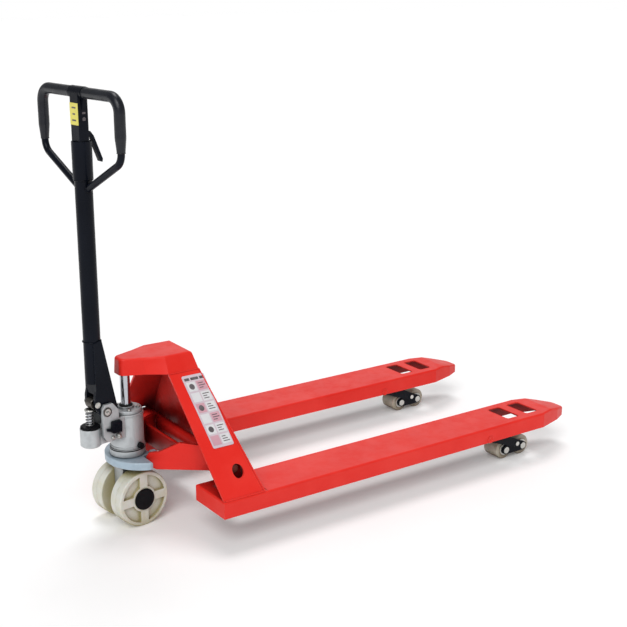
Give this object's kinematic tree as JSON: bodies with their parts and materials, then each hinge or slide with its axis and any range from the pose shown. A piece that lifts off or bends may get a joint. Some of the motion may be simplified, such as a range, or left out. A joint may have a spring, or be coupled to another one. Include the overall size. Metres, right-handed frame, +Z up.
{
  "type": "pallet jack",
  "caption": "Hand pallet jack: channel forks on tandem rollers, leaning plate tower, cast lift pump on twin steer wheels, tilting tube handle with a closed loop grip.",
  "frame": {"origin": "on the floor at the plan centre of the whole jack; the steering axis is 646.5 mm behind it", "axes": "+X forward to the fork tips, +Y left, +Z up"},
  "size_m": [1.5791, 0.685, 1.224],
  "materials": {
    "red_paint": "semi-gloss red enamel",
    "cast_silver": "silver paint on a casting",
    "black_paint": "gloss black enamel",
    "black_plastic": "fine moulded grain",
    "grip_vinyl": "soft dipped vinyl",
    "nylon_white": "cast nylon",
    "chrome_rod": "hard chrome",
    "zinc_steel": "zinc plate",
    "dark_steel": "oiled black steel",
    "label_white": "printed film",
    "label_yellow": "printed film",
    "seal_rubber": "moulded rubber"
  },
  "bodies": {
    "base": {"base_ring": "cast_silver", "thrust_bearing": "cast_silver", "bearing_seal": "seal_rubber"},
    "frame": {"fork_left": "red_paint", "fork_right": "red_paint", "apron_plate": "red_paint", "side_panel_left": "red_paint", "side_panel_right": "red_paint", "tower_head": "red_paint", "piston_seat": "cast_silver", "lift_rod": "chrome_rod", "pivot_ears": "red_paint", "rocker_pivot_pins": "dark_steel", "bracket_pins": "dark_steel", "side_label": "label_white"},
    "pump": {"pump_body": "cast_silver", "reservoir_cap": "cast_silver", "cap_screws": "zinc_steel", "rod_wiper": "seal_rubber", "plunger_gland": "black_plastic", "relief_plug": "black_plastic", "filler_plug": "zinc_steel", "steer_axle": "zinc_steel", "axle_circlips": "zinc_steel", "handle_pivot_pin": "zinc_steel", "plunger_spring": "dark_steel"},
    "plunger": {"pump_plunger": "chrome_rod", "plunger_cap": "zinc_steel"},
    "release": {"release_lever": "black_paint"},
    "wheel_left": {"steer_wheel_left": "nylon_white", "wheel_bearings_left": "zinc_steel", "hub_cap_left": "black_plastic"},
    "wheel_right": {"steer_wheel_right": "nylon_white", "wheel_bearings_right": "zinc_steel", "hub_cap_right": "black_plastic"},
    "handle": {"handle_socket": "black_paint", "press_roller_pin": "zinc_steel", "handle_tube": "black_paint", "handle_loop": "black_paint", "hand_grips": "grip_vinyl", "lever_housing": "black_paint", "position_label": "label_yellow", "lever_pin": "black_paint"},
    "press_roller": {"press_roller": "dark_steel"},
    "lever": {"control_lever": "black_paint"},
    "pull_rod": {"pull_rod": "zinc_steel"},
    "rocker": {"rocker": "red_paint", "rocker_rod_pins": "dark_steel"},
    "push_left": {"push_rod_left": "dark_steel"},
    "bracket_left": {"roller_bracket_left": "black_paint"},
    "bogie_left": {"bogie_links_left": "black_paint", "bogie_shafts_left": "zinc_steel"},
    "roller_left_rear": {"load_roller_left_rear": "nylon_white"},
    "roller_left_front": {"load_roller_left_front": "nylon_white"},
    "push_right": {"push_rod_right": "dark_steel"},
    "bracket_right": {"roller_bracket_right": "black_paint"},
    "bogie_right": {"bogie_links_right": "black_paint", "bogie_shafts_right": "zinc_steel"},
    "roller_right_rear": {"load_roller_right_rear": "nylon_white"},
    "roller_right_front": {"load_roller_right_front": "nylon_white"}
  },
  "joints": [
    {"name": "lift", "type": "slide", "parent": "base", "child": "frame", "axis": [0, 0, 1], "range_m": [-0.067, 0.048]},
    {"name": "steer", "type": "hinge", "parent": "base", "child": "pump", "pos_m": [-0.6465, 0, 0.19], "axis": [0, 0, 1], "range_deg": [-97, 83]},
    {"name": "handle_tilt", "type": "hinge", "parent": "pump", "child": "handle", "pos_m": [-0.72987, -0.01024, 0.35], "axis": [0.1219, -0.9925, 0], "range_deg": [0, 70]},
    {"name": "plunger_stroke", "type": "slide", "parent": "pump", "child": "plunger", "axis": [0, 0, -1], "range_m": [0, 0.0353], "deforming": ["plunger_spring"]},
    {"name": "press_roller_spin", "type": "hinge", "parent": "handle", "child": "press_roller", "pos_m": [-0.75171, -0.01292, 0.372], "axis": [0.1219, -0.9925, 0], "continuous": true},
    {"name": "control_lever", "type": "hinge", "parent": "handle", "child": "lever", "pos_m": [-0.73186, -0.01048, 1.103], "axis": [-0.1219, 0.9925, 0], "range_deg": [-14, 6]},
    {"name": "pull_rod_travel", "type": "slide", "parent": "handle", "child": "pull_rod", "axis": [0, 0, 1], "range_m": [-0.0027, 0.0012]},
    {"name": "release_lever", "type": "hinge", "parent": "pump", "child": "release", "pos_m": [-0.70093, -0.049, 0.303], "axis": [-0.1219, 0.9925, 0], "range_deg": [-9.8, 4.2]},
    {"name": "wheel_left_spin", "type": "hinge", "parent": "pump", "child": "wheel_left", "pos_m": [-0.65241, 0.04814, 0.08], "axis": [-0.1219, 0.9925, 0], "continuous": true},
    {"name": "wheel_right_spin", "type": "hinge", "parent": "pump", "child": "wheel_right", "pos_m": [-0.64059, -0.04814, 0.08], "axis": [-0.1219, 0.9925, 0], "continuous": true},
    {"name": "rocker_swing", "type": "hinge", "parent": "frame", "child": "rocker", "pos_m": [-0.4605, 0, 0.197], "axis": [0, -1, 0], "range_deg": [-28.2, 20.4]},
    {"name": "push_rod_left_travel", "type": "slide", "parent": "frame", "child": "push_left", "axis": [1, 0, 0], "range_m": [-0.0107, 0.0077]},
    {"name": "bracket_left_swing", "type": "hinge", "parent": "frame", "child": "bracket_left", "pos_m": [0.4205, 0.2655, 0.104], "axis": [0, 1, 0], "range_deg": [-27.8, 19.9]},
    {"name": "bogie_left_swing", "type": "hinge", "parent": "bracket_left", "child": "bogie_left", "pos_m": [0.5605, 0.2655, 0.05], "axis": [0, -1, 0], "range_deg": [-27.8, 19.9]},
    {"name": "roller_left_rear_spin", "type": "hinge", "parent": "bogie_left", "child": "roller_left_rear", "pos_m": [0.5245, 0.2655, 0.032], "axis": [0, 1, 0], "continuous": true},
    {"name": "roller_left_front_spin", "type": "hinge", "parent": "bogie_left", "child": "roller_left_front", "pos_m": [0.5965, 0.2655, 0.032], "axis": [0, 1, 0], "continuous": true},
    {"name": "push_rod_right_travel", "type": "slide", "parent": "frame", "child": "push_right", "axis": [1, 0, 0], "range_m": [-0.0107, 0.0077]},
    {"name": "bracket_right_swing", "type": "hinge", "parent": "frame", "child": "bracket_right", "pos_m": [0.4205, -0.2655, 0.104], "axis": [0, 1, 0], "range_deg": [-27.8, 19.9]},
    {"name": "bogie_right_swing", "type": "hinge", "parent": "bracket_right", "child": "bogie_right", "pos_m": [0.5605, -0.2655, 0.05], "axis": [0, -1, 0], "range_deg": [-27.8, 19.9]},
    {"name": "roller_right_rear_spin", "type": "hinge", "parent": "bogie_right", "child": "roller_right_rear", "pos_m": [0.5245, -0.2655, 0.032], "axis": [0, 1, 0], "continuous": true},
    {"name": "roller_right_front_spin", "type": "hinge", "parent": "bogie_right", "child": "roller_right_front", "pos_m": [0.5965, -0.2655, 0.032], "axis": [0, 1, 0], "continuous": true}
  ],
  "couplings": [
    {"joint": "plunger_stroke", "follows": "handle_tilt", "m_per_rad": 0.02877},
    {"joint": "pull_rod_travel", "follows": "control_lever", "m_per_rad": 0.011},
    {"joint": "release_lever", "follows": "control_lever", "ratio": 0.7},
    {"joint": "rocker_swing", "follows": "lift", "rad_per_m": 7.243},
    {"joint": "push_rod_left_travel", "follows": "lift", "ratio": 0.1572},
    {"joint": "bracket_left_swing", "follows": "lift", "rad_per_m": 7.156},
    {"joint": "bogie_left_swing", "follows": "lift", "rad_per_m": 7.156},
    {"joint": "push_rod_right_travel", "follows": "lift", "ratio": 0.1572},
    {"joint": "bracket_right_swing", "follows": "lift", "rad_per_m": 7.156},
    {"joint": "bogie_right_swing", "follows": "lift", "rad_per_m": 7.156}
  ]
}
